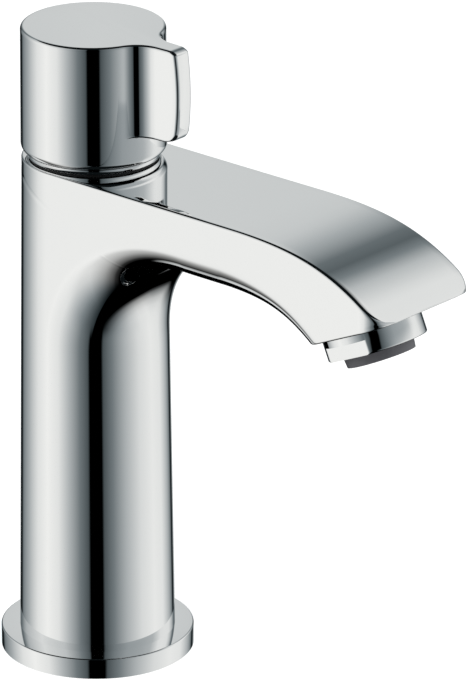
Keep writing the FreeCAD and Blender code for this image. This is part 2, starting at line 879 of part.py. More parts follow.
def aerator_seal():
    seal = tube(mouth_chamber_radius + aerator_seal_play, aerator_thread_radius - aerator_seal_play,
                aerator_thread_length, aerator_thread_length + aerator_seal_height)
    return on_aerator_axis(seal)


def insert_levels():
    """Bottom of the outlet insert, top of the collar's lip under it, and its own top."""
    lip_top = -collar_height + collar_lip_height
    return -collar_height - insert_drop, lip_top, lip_top + insert_flange_height


def jet_insert():
    """Soft grey outlet insert with rings of small jets."""
    low, lip_top, high = insert_levels()
    part = Part.makeCone(insert_face_radius, insert_radius, lip_top - low, Vector(0, 0, low))
    part = part.fuse(cylinder(collar_bore_radius - slip_gap, lip_top, high))
    for ring in range(1, jet_ring_count + 1):
        radius = ring * jet_ring_pitch
        count = ring * jets_added_per_ring
        for step in range(count):
            turn = 2 * math.pi * step / count
            place = Vector(radius * math.cos(turn), radius * math.sin(turn), low)
            part = part.cut(Part.makeCylinder(jet_radius, high - low, place))
    return on_aerator_axis(part)


def aerator_core():
    """Plastic mixing core: cup with slots through its floor."""
    low = insert_levels()[2]
    outer = collar_bore_radius - slip_gap
    part = cylinder(outer, low, regulator_low)
    part = part.cut(cylinder(outer - core_wall, low + core_floor, regulator_low))
    corner = Vector(core_slot_start, -core_slot_width / 2, low)
    for index in range(core_slot_count):
        slot = Part.makeBox(core_slot_length, core_slot_width, core_floor, corner)
        slot.rotate(Vector(0, 0, 0), Vector(0, 0, 1), 360 / core_slot_count * index)
        part = part.cut(slot)
    return on_aerator_axis(part)


def flow_regulator():
    """Ring that limits the flow, seated on the mixing core."""
    top = regulator_low + regulator_height
    part = tube(regulator_bore, collar_bore_radius - slip_gap, regulator_low, top)
    floor = regulator_low + regulator_floor
    part = part.cut(tube(regulator_groove_inner, regulator_groove_outer, floor, top))
    return on_aerator_axis(part)


def sieve_holes(low, reach):
    """A square grid of drilled holes within a distance from the axis."""
    steps = range(-int(reach / sieve_hole_pitch), int(reach / sieve_hole_pitch) + 1)
    places = [(row * sieve_hole_pitch, column * sieve_hole_pitch) for row in steps for column in steps]
    return [Part.makeCylinder(sieve_hole_radius, sieve_height, Vector(x, y, low))
            for x, y in places if math.hypot(x, y) < reach]


def inlet_sieve():
    """Domed sieve over the aerator."""
    low = regulator_low + regulator_height
    rim_top = low + sieve_rim_height
    top = low + sieve_height
    base = mouth_chamber_radius - sieve_rim_width / 2
    rim = tube(mouth_chamber_radius - sieve_rim_width, mouth_chamber_radius - slip_gap, low, rim_top)
    rise = sieve_height - sieve_rim_height
    sphere = (base * base + rise * rise) / (2 * rise)
    centre = Vector(0, 0, top - sphere)
    dome = Part.makeSphere(sphere, centre).cut(Part.makeSphere(sphere - sieve_wall, centre))
    part = rim.fuse(dome.common(cylinder(mouth_chamber_radius - slip_gap, rim_top, top)))
    for hole in sieve_holes(low, base - sieve_rim_width):
        part = part.cut(hole)
    return on_aerator_axis(part)


nodes = {
    "body": body,
    "column": column,
    "base_flange": base_flange,
    "base_seal": base_seal,
    "shank": shank,
    "riser_tube": riser_tube,
    "riser_o_rings": riser_o_rings,
    "clamp_gasket": clamp_gasket,
    "clamp_washer": clamp_washer,
    "backnut": backnut,
    "valve_housing": valve_housing,
    "housing_o_ring": housing_o_ring,
    "valve_seat_seal": valve_seat_seal,
    "fixed_disc": fixed_disc,
    "moving_disc": moving_disc,
    "spindle": spindle,
    "spindle_o_rings": spindle_o_rings,
    "spindle_clip": spindle_clip,
    "thrust_washer": thrust_washer,
    "guide_ring": guide_ring,
    "handle": handle,
    "spline_adapter": spline_adapter,
    "handle_screw": handle_screw,
    "screw_plug": screw_plug,
    "aerator_housing": aerator_housing,
    "aerator_seal": aerator_seal,
    "inlet_sieve": inlet_sieve,
    "flow_regulator": flow_regulator,
    "aerator_core": aerator_core,
    "jet_insert": jet_insert,
}

os.makedirs("parts", exist_ok=True)
for name, make in nodes.items():
    shape = make()
    shape.exportStep(f"parts/{name}.step")
    print(f"{name}: {len(shape.Solids)} solids, valid {shape.isValid()}, {shape.Volume:.1f} mm3")
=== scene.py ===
# %% [markdown]
# # A chromed basin pillar tap
# The tap is a bent casting on a round foot, with a turning handle on top and an
# aerator under its mouth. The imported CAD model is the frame: each piece made here
# rides on one of its two bodies and sits exactly where its CAD node sits. The inner
# parts keep their CAD meshes and only get a finish. The chromed outside is modelled
# again, because a polish shows every flat facet of a CAD mesh.

# %% Load the frame
import math

import bmesh
import bpy
import numpy as np
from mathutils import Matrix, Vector


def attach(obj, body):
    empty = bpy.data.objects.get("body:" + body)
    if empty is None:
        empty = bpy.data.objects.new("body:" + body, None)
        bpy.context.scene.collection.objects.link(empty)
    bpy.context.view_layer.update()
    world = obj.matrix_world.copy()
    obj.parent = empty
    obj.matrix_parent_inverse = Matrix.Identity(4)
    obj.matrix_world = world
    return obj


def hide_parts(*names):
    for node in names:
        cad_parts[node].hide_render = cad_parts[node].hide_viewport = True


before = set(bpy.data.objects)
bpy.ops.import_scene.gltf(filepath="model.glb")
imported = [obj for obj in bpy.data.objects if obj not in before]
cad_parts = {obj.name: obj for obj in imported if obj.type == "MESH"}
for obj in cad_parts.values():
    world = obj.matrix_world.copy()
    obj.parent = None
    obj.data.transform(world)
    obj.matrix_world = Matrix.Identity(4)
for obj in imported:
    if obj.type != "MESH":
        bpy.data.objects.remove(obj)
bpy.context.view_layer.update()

# %% [markdown]
# The casting is one hollow piece of brass, ground smooth and chromed. It starts as a
# column that is a little wider at its foot. A cone could be spun, but the spout grows
# out of the column without a seam, so both become one skin over many sections. The
# sections are written in millimetres: x to the side, s outwards along the spout and z
# upwards. First come the radius of the column and the shape seen from above.

# %% The column, and the casting from above
FOOT, TOP = 5.6, 140.0
COLUMN_R, COLUMN_TAPER = 20.95, 1.75
TIP, TIP_CORNER = (114.45, 125.15), 6.5


def column_radius(z):
    return COLUMN_R - COLUMN_TAPER * (z - FOOT) / (TOP - FOOT)


def half_width(s, z):
    """From above: half a circle at the back, straight sides, round corners at the tip."""
    radius = column_radius(z)
    corner = np.clip(s - (TIP[0] - TIP_CORNER), 0, TIP_CORNER)
    width = radius - TIP_CORNER + np.sqrt(TIP_CORNER ** 2 - corner ** 2)
    return np.where(s > 0, width, np.sqrt(np.maximum(radius ** 2 - s * s, 0)))


print("column radius", column_radius(FOOT), "mm at the foot and", column_radius(TOP), "at the top")

# %% [markdown]
# Seen from the side, the spout lies between two lines. The flat top runs level and
# then drops to the tip. The belly runs level and then drops to the heel of the slanted
# mouth. A curve object could hold these lines, but here points are wanted at any share
# of their length, so each drop is a Bezier curve of four poles, worked out in Python.

# %% The spout's top line and belly line
HEEL = (89.6, 114.08)
UNDERSIDE, BEND_END = 122.0, 60.0
LINE_STEPS = np.linspace(0, 1, 200)


def bezier(poles, t):
    p = np.asarray(poles, dtype=float)
    t = np.asarray(t, dtype=float)[..., None]
    return ((1 - t) ** 3 * p[0] + 3 * t * (1 - t) ** 2 * p[1]
            + 3 * t * t * (1 - t) * p[2] + t ** 3 * p[3])


def along(points, shares):
    """Points at the given shares of a polyline's length."""
    steps = np.hypot(*np.diff(points, axis=0).T)
    length = np.concatenate([[0.0], np.cumsum(steps)])
    at = np.asarray(shares) * length[-1]
    return np.stack([np.interp(at, length, points[:, k])
                     for k in range(points.shape[1])], axis=-1)


top_drop = bezier([(64, TOP), (88.2, TOP), (100.3, 136), TIP], LINE_STEPS)
top_line = np.vstack([[(BEND_END, TOP)], top_drop])
low_line = bezier([(BEND_END, UNDERSIDE), (75.6, UNDERSIDE), (81.6, 119.4), HEEL], LINE_STEPS)
print("halfway out: top", along(top_line, [0.5])[0].round(1),
      "belly", along(low_line, [0.5])[0].round(1))

# %% [markdown]
# Under the spout the column's round front sweeps forward and becomes a flat belly with
# small round edges. A bevel between two shapes would end in a hard line, but a casting
# fades. So two guide lines leave the column together, one down the middle of the belly
# and one where each flat side ends. Both are quarters of an ellipse, a little fuller
# than a true one, and the round between them shrinks on its way.

# %% The guide lines of the bend
BEND_START, FLAT_SIDE = 91.1, 129.2
BELLY_LENGTH, SIDE_LEAN = 28.8, 3.3
BELLY_FULL, SIDE_FULL = 2.29, 2.15
LOW_ROUND = 5.8
EARLY_FADE, EARLY_POWER = 0.4, 0.76
BEND_R = column_radius(BEND_START)
BELLY_END = BEND_R + BELLY_LENGTH


def bend(step):
    """Belly point, side point and width of the round.

    Step 0 is at the column, 1 where the guide lines are level, and 2 at BEND_END.
    """
    turn = min(step, 1.0) * math.pi / 2
    back, up = max(math.cos(turn), 0.0), math.sin(turn)
    low = np.array([BELLY_END - BELLY_LENGTH * back ** (2 / BELLY_FULL),
                    BEND_START + (UNDERSIDE - BEND_START) * up ** (2 / BELLY_FULL)])
    side = np.array([(BELLY_END - SIDE_LEAN) * (1 - back ** (2 / SIDE_FULL)),
                     BEND_START + (FLAT_SIDE - BEND_START) * up ** (2 / SIDE_FULL)])
    shrunk = EARLY_FADE * (1 - back) ** EARLY_POWER + (1 - EARLY_FADE) * up ** 2
    past = max(step - 1.0, 0.0)
    low[0] += (BEND_END - BELLY_END) * past
    side[0] += (BEND_END - BELLY_END + SIDE_LEAN) * past
    return low, side, BEND_R + (LOW_ROUND - BEND_R) * shrunk


print("the bend goes from height", BEND_START, "to reach", round(BELLY_END, 1), "mm")

# %% [markdown]
# A section is one cut through the casting. Half of it goes over the flat top, down the
# upright side and round a quarter of an ellipse to the middle of the belly. The rim
# between top and side has a small round, because an edge without one shows no line of
# light. Every section has the same number of points, so they can be the rows of a grid.

# %% One section of the casting
RIM_ROUND, RIM_SHARE = 0.9, 0.45
ACROSS, AROUND = 10, 96
FINE_SIDE, FINE_ROUND = 300, 240


def soft_edge(before, corner, after, steps=4):
    """Sections of a small round between two sections that meet in an edge."""
    made = []
    for step in range(steps + 1):
        t = step / steps
        made.append((1 - t) ** 2 * before + 2 * t * (1 - t) * corner + t * t * after)
    return made


def section(low, high, tall, wide):
    """Half a section from its belly point to its top point, with a round tall and wide."""
    low, high = np.asarray(low, float), np.asarray(high, float)
    length = np.linalg.norm(high - low)
    up = (high - low) / length
    rim = float(half_width(*high))
    rounding = min(RIM_ROUND, RIM_SHARE * rim)
    around = np.linspace(0, math.pi / 2, FINE_ROUND)[1:]
    rise = np.concatenate([np.linspace(length - rounding, tall, FINE_SIDE),
                           tall - tall * np.sin(around)])
    inset = np.concatenate([np.zeros(FINE_SIDE), wide - wide * np.cos(around)])
    out = half_width(low[0] + rise * up[0], low[1] + rise * up[1]) - inset
    outline = np.vstack([np.stack([np.maximum(out, 0), rise], axis=-1), [(0.0, 0.0)]])
    side_points = along(outline, np.linspace(0, 1, AROUND + 1))
    flat = np.stack([np.linspace(0, max(rim - rounding, 0), ACROSS + 1),
                     np.full(ACROSS + 1, length)], axis=-1)
    edge = np.array(soft_edge(flat[-1], np.array([rim, length]), side_points[0]))
    points = np.vstack([flat, edge[1:-1], side_points])
    return np.stack([points[:, 0], low[0] + points[:, 1] * up[0],
                     low[1] + points[:, 1] * up[1]], axis=-1)


last_bend = section((BEND_END, UNDERSIDE), (BEND_END, TOP), FLAT_SIDE - UNDERSIDE, LOW_ROUND)
print("half a section has", len(last_bend), "points and is",
      round(last_bend[:, 0].max(), 1), "mm wide")

# %% [markdown]
# The sections of the column lie flat and those of the spout stand upright. Between
# them they open like a fan. Each starts on the belly's guide line, passes the side's,
# and goes straight on until it meets the back of the column or, further up, the flat
# top. Their upper ends are spread evenly along the top, so that no face gets long.

# %% Sections of the column
COLUMN_SECTIONS = 27
places = []
for z in np.linspace(FOOT, BEND_START, COLUMN_SECTIONS):
    radius = float(column_radius(z))
    places.append(((radius, z), (-radius, z), radius, radius))
print(len(places), "sections of the column")

# %% Where a section of the bend ends
LEVEL, TINY, FINE_STEPS = 1e-6, 1e-9, 4001


def fan_end(step):
    """Where a section of the bend meets the flat top, or the back of the column."""
    low, side, _ = bend(step)
    away, up = side - low
    if up > LEVEL:
        to_top = (TOP - low[1]) / up * away + low[0]
        if to_top >= -column_radius(TOP):
            return np.array([to_top, TOP])
    slope = -up / away
    reach = (low[0] + column_radius(low[1])) / (1 + COLUMN_TAPER / (TOP - FOOT) * slope)
    return np.array([low[0] - reach, low[1] + reach * slope])


bend_steps = np.linspace(0, 2, FINE_STEPS)
fan_ends = np.array([fan_end(step) for step in bend_steps])
first_top = int(np.argmax(fan_ends[:, 1] >= TOP - TINY))
print("the fan reaches the flat top at step", bend_steps[first_top])

# %% Sections of the bend
BACK_SECTIONS, TOP_SECTIONS = 44, 86
BACK_TURNS = np.radians(np.arange(6, 90, 3.0))
fan = list(np.linspace(0, bend_steps[first_top], BACK_SECTIONS)[1:-1])
top_ends = [-float(column_radius(TOP)) * math.cos(turn) for turn in BACK_TURNS]
top_ends += list(np.linspace(0, BEND_END, TOP_SECTIONS))
fan += list(np.interp(top_ends, fan_ends[first_top:, 0], bend_steps[first_top:]))
for step in fan:
    low, side, wide = bend(step)
    places.append((low, fan_end(step), np.linalg.norm(side - low), wide))
print(len(fan), "sections of the bend")

# %% [markdown]
# Along the spout each section joins the same share of the top line and of the belly
# line, so the sections lean over step by step until the last one lies in the mouth.
# Where the tip's corners turn, they follow the turn's angle, which keeps the corner
# round when it is seen from above.

# %% Sections of the spout
HEEL_ROUND, SPOUT_SECTIONS = 5.0, 55
CORNER_START = TIP[0] - TIP_CORNER
CORNER_TURNS = np.radians(np.arange(8, 60, 8.0))
top_lengths = np.concatenate([[0], np.cumsum(np.hypot(*np.diff(top_line, axis=0).T))])


def share_of(s):
    """The share of the top line's length at a reach."""
    return float(np.interp(s, top_line[:, 0], top_lengths / top_lengths[-1]))


shares = [share for share in np.linspace(0, 1, SPOUT_SECTIONS)[1:]
          if share < share_of(CORNER_START)]
shares += [share_of(CORNER_START + TIP_CORNER * math.sin(turn)) for turn in CORNER_TURNS] + [1.0]
for share in shares:
    tall = (FLAT_SIDE - UNDERSIDE) * (1 - share) + HEEL_ROUND * share
    wide = LOW_ROUND * (1 - share) + HEEL_ROUND * share
    places.append((along(low_line, [share])[0], along(top_line, [share])[0], tall, wide))
print(len(shares), "sections of the spout,", len(places), "in all")

# %% [markdown]
# The mouth has a small round edge all the way round, which catches a thin line of
# light. A bevel of that one edge would be cut short by the narrow faces beside it, so
# the edge is a few more rows. They start a little way back along the spout, pass the
# corner and end a little way in, on the flat of the mouth.

# %% The edge of the mouth
MOUTH_EDGE, MOUTH_STEPS = 0.8, 6


def unit(vectors):
    return vectors / np.maximum(np.linalg.norm(vectors, axis=1, keepdims=True), TINY)


half_sections = np.array([section(*place) for place in places])
mirrored = half_sections[:, :0:-1] * np.array([-1.0, 1.0, 1.0])
sections = np.concatenate([mirrored, half_sections], axis=1)
mouth = sections[-1]
up_mouth = np.array([0, TIP[0] - HEEL[0], TIP[1] - HEEL[1]])
up_mouth /= np.linalg.norm(up_mouth)
walk = np.roll(mouth, -1, axis=0) - np.roll(mouth, 1, axis=0)
walk[0] = walk[-1] = (1, 0, 0)
outwards = unit(np.cross(np.cross([1.0, 0, 0], up_mouth), walk))
sign = np.sign(np.sum(outwards * (mouth - mouth.mean(axis=0)), axis=1, keepdims=True))
outwards *= np.where(sign == 0, 1, sign)
back_along = unit(sections[-2] - mouth)
edge_rows = soft_edge(mouth + MOUTH_EDGE * back_along, mouth, mouth - MOUTH_EDGE * outwards,
                      MOUTH_STEPS)
print("the mouth's edge has", len(edge_rows), "rows of", len(mouth), "points")

# %% [markdown]
# Now the skin itself. The create_grid operator makes a flat sheet of small faces, and
# each row of its vertices moves onto one section, like a sheet of metal bent round a
# form. The two long sides of the sheet meet down the front of the column and along the
# belly, where they are merged, and one flat face closes each open end. Shading is
# smooth everywhere but at sharp edges.

# %% Bend a grid along the sections
MM = 0.001


def bend_grid(bm, sections):
    """Lay a grid and move its vertices to the points of the sections, row by row."""
    sections = np.asarray(sections, dtype=float)
    rows, columns = sections.shape[:2]
    made = bmesh.ops.create_grid(bm, x_segments=columns - 1, y_segments=rows - 1, size=1.0)
    for vert in made["verts"]:
        column = round((vert.co.x + 1) / 2 * (columns - 1))
        row = round((vert.co.y + 1) / 2 * (rows - 1))
        x, s, z = sections[row, column]
        vert.co = (x * MM, -s * MM, z * MM)


bm = bmesh.new()
bend_grid(bm, np.concatenate([sections[:-1], edge_rows]))
print("the bent grid has", len(bm.verts), "vertices")

# %% Close its ends
MERGE = 1e-7


def close_ends(bm):
    """Fill each open rim with one flat face."""
    bmesh.ops.remove_doubles(bm, verts=bm.verts, dist=MERGE)
    rims = [edge for edge in bm.edges if edge.is_boundary]
    bmesh.ops.holes_fill(bm, edges=rims, sides=0)


close_ends(bm)
print("merged and closed it has", len(bm.verts), "vertices")

# %% Make the casting
LEAST_EDGE = 1e-8


def piece_from(bm, name, body, sharp_from):
    """Close the seams, turn the faces outwards and put the mesh into the scene."""
    bmesh.ops.remove_doubles(bm, verts=bm.verts, dist=MERGE)
    bmesh.ops.dissolve_degenerate(bm, edges=bm.edges, dist=LEAST_EDGE)
    bmesh.ops.recalc_face_normals(bm, faces=bm.faces)
    for face in bm.faces:
        face.smooth = True
    mesh = bpy.data.meshes.new(name)
    bm.to_mesh(mesh)
    bm.free()
    mesh.set_sharp_from_angle(angle=math.radians(sharp_from))
    piece = bpy.data.objects.new(name, mesh)
    bpy.context.scene.collection.objects.link(piece)
    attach(piece, body)
    print(name, "has", len(mesh.polygons), "faces")
    return piece


casting = piece_from(bm, "tap_casting", "tap_body", 50)
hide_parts("body", "column")

# %% [markdown]
# The handle is one more casting: a cap that covers the cartridge, with a thin upright
# grip over the spout. From the side the grip's end is a shallow bow with a round toe
# below and a smaller round, the brow, above. A cap and a plate could be joined by a
# boolean, but that leaves no clean sweep between them, so the handle is a stack of
# outlines from its foot to its top.

# %% The handle from the side
CAP_FOOT, CAP_TOP = 140.5, 176.0
CAP_R, CAP_TOP_R = 19.4, 19.2
GRIP_LOW, GRIP_REACH, GRIP_BOW = 150.3, 31.0, 1.1
GRIP_TOE, GRIP_BROW = 3.6, 1.4


def cap_radius(z):
    return CAP_R - (CAP_R - CAP_TOP_R) * (z - CAP_FOOT) / (CAP_TOP - CAP_FOOT)


def grip_reach(z):
    """How far out the grip's end is at one level."""
    up = (z - GRIP_LOW) / (CAP_TOP - GRIP_LOW)
    reach = GRIP_REACH + GRIP_BOW * 4 * up * (1 - up)
    if z < GRIP_LOW + GRIP_TOE:
        reach -= GRIP_TOE - math.sqrt(GRIP_TOE ** 2 - (GRIP_LOW + GRIP_TOE - z) ** 2)
    if z > CAP_TOP - GRIP_BROW:
        reach -= GRIP_BROW - math.sqrt(GRIP_BROW ** 2 - (z - CAP_TOP + GRIP_BROW) ** 2)
    return reach


print("the grip reaches", round(grip_reach((GRIP_LOW + CAP_TOP) / 2), 2), "mm at half its height")

# %% [markdown]
# From above, each outline is the cap's circle with a hollow sweep on either side that
# runs into the grip, a slight taper outwards, and small rounds at its end. An inset
# draws the same outline smaller, which the small rounds at the edges need.

# %% One outline of the handle from above
GRIP_HALF, GRIP_TAPER, GRIP_SWEEP = 3.1, math.radians(2.4), 7.8
GRIP_END_ROUND, LEAST_ROUND = 1.1, 0.15
CIRCLE_STEPS, SWEEP_STEPS, GRIP_STEPS, END_STEPS = 110, 25, 6, 7


def cap_outline(z, inset=0.0):
    """Closed outline of cap and grip at one level, as points (x, s, z)."""
    radius = cap_radius(z) - inset
    sweep = GRIP_SWEEP + inset
    centre_x = GRIP_HALF - inset + sweep * math.cos(GRIP_TAPER)
    centre_s = math.sqrt((radius + sweep) ** 2 - centre_x ** 2)
    start = math.atan2(centre_s, centre_x)
    sweep_points = [(centre_x - sweep * math.cos(a), centre_s - sweep * math.sin(a))
                    for a in np.linspace(start, GRIP_TAPER, SWEEP_STEPS)]
    root_x, root_s = sweep_points[-1]
    reach = grip_reach(z) - inset
    edge = max(GRIP_END_ROUND - inset, LEAST_ROUND)
    end_x = root_x - (reach - root_s) * math.tan(GRIP_TAPER)
    edge_x = end_x - edge * math.tan((math.pi / 2 - GRIP_TAPER) / 2)
    edge_s = reach - edge
    end_points = [(edge_x + edge * math.cos(a), edge_s + edge * math.sin(a))
                  for a in np.linspace(GRIP_TAPER, math.pi / 2, END_STEPS)]
    side_x, side_s = end_points[0]
    side_points = [(root_x + (side_x - root_x) * k / GRIP_STEPS,
                    root_s + (side_s - root_s) * k / GRIP_STEPS) for k in range(1, GRIP_STEPS)]
    near_angle = math.atan2(sweep_points[0][0], sweep_points[0][1])
    circle = [(radius * math.sin(a), radius * math.cos(a))
              for a in np.linspace(math.pi, near_angle, CIRCLE_STEPS)[:-1]]
    half_line = circle + sweep_points + side_points + end_points + [(0.0, reach)]
    points = half_line + [(-x, s) for x, s in reversed(half_line[:-1])]
    return np.array([(x, s, z) for x, s in points])


low_outline = cap_outline(GRIP_LOW)
print("an outline has", len(low_outline), "points")

# %% [markdown]
# Below the grip the cap is round, inside as well as outside. The rings there are the
# grip's lowest outline drawn back to a circle, point by point, so that the grid's
# columns run on without a break. The inside follows the CAD: a hub with the socket for
# the spindle's spline, and the hollow round it.

# %% A ring of the same points
LOW_R = cap_radius(GRIP_LOW)
GRIP_SHARE, JUST_OUTSIDE = 0.75, 1e-6


def ring(radius, z):
    """The lowest outline on a circle: the grip's points straight back, the others inwards."""
    x, s, _ = low_outline.T
    on_grip = (s > 0) & (np.abs(x) < GRIP_SHARE * radius) & (np.hypot(x, s) > LOW_R + JUST_OUTSIDE)
    turn = np.arctan2(x, s)
    straight_x = x[on_grip] * min(radius / LOW_R, 1.0)
    made = np.stack([radius * np.sin(turn), radius * np.cos(turn), np.full_like(x, z)], axis=-1)
    made[on_grip, 0] = straight_x
    made[on_grip, 1] = np.sqrt(radius ** 2 - straight_x ** 2)
    return made


print("a ring has", len(ring(LOW_R, GRIP_LOW)), "points too")

# %% Rings below the grip
HUB = ((7.55, 168.5), (7.55, 156.0), (10.6, 156.0), (10.6, 171.0))
HOLLOW = ((16.8, 171.0), (16.8, 150.0), (17.35, 150.0), (17.35, CAP_FOOT))
LIP, LIP_ROUND, LIP_TURN = 142.0, 2.4, math.radians(38)
NECK_R, NECK_EDGE, LIP_R, LIP_DROP = 17.75, 0.15, 18.3, 0.1
NECK = ((NECK_R - NECK_EDGE, CAP_FOOT), (NECK_R, CAP_FOOT + NECK_EDGE),
        (NECK_R, LIP - LIP_DROP), (LIP_R, LIP - LIP_DROP))
LIP_STEPS, BELOW_GRIP = 11, 0.5
rows = [ring(radius, z) for radius, z in HUB + HOLLOW + NECK]
for turn in np.linspace(LIP_TURN, math.pi / 2, LIP_STEPS):
    z = LIP + LIP_ROUND * (math.cos(LIP_TURN) - math.cos(turn))
    rows.append(ring(cap_radius(z) - LIP_ROUND + LIP_ROUND * math.sin(turn), z))
lip_top = rows[-1][0, 2]
rows += [ring(cap_radius(z), z) for z in np.linspace(lip_top, GRIP_LOW - BELOW_GRIP, 5)[1:]]
print(len(rows), "rings below the grip")

# %% [markdown]
# The underside of the grip is a small flat face that leaves the cap at a right angle.
# Its inner corner and its outer edge both get a small round. The mask keeps the cap's
# own points where they are, because only the grip's points stand outside its circle.

# %% The grip's underside
GRIP_EDGE, EDGE_STEPS, CORNER_SHARE = 0.9, 6, 0.45
ON_CAP = 0.02
corner = ring(LOW_R, GRIP_LOW)
inset = cap_outline(GRIP_LOW, GRIP_EDGE)
step_out = inset - corner
length = np.maximum(np.linalg.norm(step_out, axis=1, keepdims=True), TINY)
on_grip = np.hypot(inset[:, 0], inset[:, 1])[:, None] > LOW_R + ON_CAP
moved = corner + step_out / length * np.minimum(GRIP_EDGE, length * CORNER_SHARE) * on_grip
rows += soft_edge(rows[-1], corner, moved)[1:]
rows += soft_edge(np.where(on_grip, inset, corner), low_outline,
                  cap_outline(GRIP_LOW + GRIP_EDGE), EDGE_STEPS)
print(int(on_grip.sum()), "points of the underside lie outside the cap")

# %% [markdown]
# From there up the outlines are stacked, closer where the toe and the brow turn, and a
# round edge leads onto the flat top. The same bent grid then makes the piece. It rides
# on the handle's body, so it turns with the hinge of the CAD model.

# %% Make the handle
TOE_LEVELS, SIDE_LEVELS = (1.2, 1.6, 2.0, 2.5, 3.0), 14
BROW_LEVEL, TOP_EDGE, JUST_BELOW = 1.2, 1.0, 1e-6
levels = [GRIP_LOW + level for level in TOE_LEVELS]
levels += list(np.linspace(levels[-1], CAP_TOP - GRIP_BROW, SIDE_LEVELS)[1:])
levels += [CAP_TOP - BROW_LEVEL, CAP_TOP - TOP_EDGE]
rows += [cap_outline(z) for z in levels]
rows += soft_edge(rows[-1], cap_outline(CAP_TOP - JUST_BELOW),
                  cap_outline(CAP_TOP - JUST_BELOW, TOP_EDGE), EDGE_STEPS)[1:]
rows[-1][:, 2] = CAP_TOP

bm = bmesh.new()
bend_grid(bm, rows)
close_ends(bm)
handle = piece_from(bm, "tap_handle", "handle_group", 50)
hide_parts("handle")

# %% [markdown]
# The foot plate is a turned ring that spreads the tap's weight on the ledge. On a lathe
# it comes from one profile, and here too: a closed loop of a few vertices is spun once
# round the axis. The recess below holds the seal, and a small round breaks the outer
# edge.

# %% Foot plate
PLATE_R, PLATE_BORE = 26.0, 17.4
PLATE_EDGE, EDGE_CENTRE = 0.4, (25.6, 5.2)
SEAL_IN, SEAL_OUT, SEAL_DEEP = 19.6, 23.0, 1.6
EDGE_TURNS, ROUND_STEPS = np.radians(np.linspace(0, 90, 6)), 256
profile = [(PLATE_BORE, 0), (SEAL_IN, 0), (SEAL_IN, SEAL_DEEP), (SEAL_OUT, SEAL_DEEP),
           (SEAL_OUT, 0), (PLATE_R, 0)]
for turn in EDGE_TURNS:
    profile.append((EDGE_CENTRE[0] + PLATE_EDGE * math.cos(turn),
                    EDGE_CENTRE[1] + PLATE_EDGE * math.sin(turn)))
profile.append((PLATE_BORE, FOOT))
bm = bmesh.new()
points = [bm.verts.new((r * MM, 0, z * MM)) for r, z in profile]
loop = [bm.edges.new(pair) for pair in zip(points, points[1:] + points[:1])]
bmesh.ops.spin(bm, geom=points + loop, axis=(0, 0, 1), cent=(0, 0, 0),
               steps=ROUND_STEPS, angle=2 * math.pi, use_merge=True)
flange = piece_from(bm, "foot_plate", "tap_body", 30)
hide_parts("base_flange")

# %% [markdown]
# The aerator sits in a collar that screws into the slanted mouth. The collar is turned,
# and its lower part is milled flat on two sides for a wrench. A spin can't make those
# flats, so the collar is a grid of rings, the lower ones clipped to the flats. The rings
# are drawn square to the collar's own axis and then tilted with the mouth.

# %% Rings on the collar's own axis
TILT, AERATOR = math.radians(24.0), (95.35, 116.65)
RING_TURNS = np.radians(np.arange(0, 361, 1.5))


def collar_ring(radius, level, flat=None):
    """A ring round the collar's axis, cut by two flats where a half width is given."""
    x, y = radius * np.cos(RING_TURNS), radius * np.sin(RING_TURNS)
    if flat is not None:
        x = np.clip(x, -flat, flat)
    return np.stack([x, y, np.full_like(x, level)], axis=-1)


def on_collar(rings):
    """Tilt rings from the collar's own axis onto the mouth."""
    x, y, level = np.moveaxis(np.asarray(rings, float), -1, 0)
    s = AERATOR[0] + y * math.cos(TILT) - level * math.sin(TILT)
    z = AERATOR[1] + y * math.sin(TILT) + level * math.cos(TILT)
    return np.stack([x, s, z], axis=-1)


print("a ring of the collar has", len(RING_TURNS) - 1, "sides")

# %% Make the aerator collar
COLLAR_R, COLLAR_BORE, COLLAR_FLAT = 13.35, 9.75, 11.3
COLLAR_LOW, COLLAR_EDGE, FLATS_TOP = -6.5, 0.5, -2.6
THREAD_R, THREAD_TOP = 11.9, 6.0
rows = [collar_ring(COLLAR_BORE, THREAD_TOP), collar_ring(COLLAR_BORE, COLLAR_LOW)]
for turn in np.linspace(0, math.pi / 2, 5):
    rows.append(collar_ring(COLLAR_R - COLLAR_EDGE + COLLAR_EDGE * math.sin(turn),
                            COLLAR_LOW + COLLAR_EDGE - COLLAR_EDGE * math.cos(turn), COLLAR_FLAT))
rows += [collar_ring(COLLAR_R, FLATS_TOP, COLLAR_FLAT), collar_ring(COLLAR_R, FLATS_TOP),
         collar_ring(COLLAR_R, 0.0), collar_ring(THREAD_R, 0.0),
         collar_ring(THREAD_R, THREAD_TOP), collar_ring(COLLAR_BORE, THREAD_TOP)]
bm = bmesh.new()
bend_grid(bm, on_collar(rows))
collar = piece_from(bm, "aerator_collar", "tap_body", 30)
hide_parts("aerator_housing")

# %% [markdown]
# Above the collar the casting has a short round boss that fills the mouth round the
# thread. It is a plain ring with a fine chamfer on its lower edge, so a few round rings
# of the same kind make it.

# %% Make the boss
BOSS_R, BOSS_BORE, BOSS_CHAMFER = 14.6, 9.5, 0.2
BOSS_LOW, BOSS_TOP = 0.02, 9.0
rows = [collar_ring(BOSS_BORE, BOSS_LOW), collar_ring(BOSS_R - BOSS_CHAMFER, BOSS_LOW),
        collar_ring(BOSS_R, BOSS_LOW + BOSS_CHAMFER), collar_ring(BOSS_R, BOSS_TOP),
        collar_ring(BOSS_BORE, BOSS_TOP), collar_ring(BOSS_BORE, BOSS_LOW)]
bm = bmesh.new()
bend_grid(bm, on_collar(rows))
boss = piece_from(bm, "aerator_boss", "tap_body", 30)

# %% [markdown]
# Every finish is made of shader nodes. Placing and linking them one by one hides what
# they work out, so one small class wraps a socket. Arithmetic on wrapped sockets adds
# Math nodes, in both orders, so that 1 - mask works too. Its node method makes any other
# node from its type, its settings, and the values or links of its sockets. A trial on a
# scratch tree shows what one expression adds.

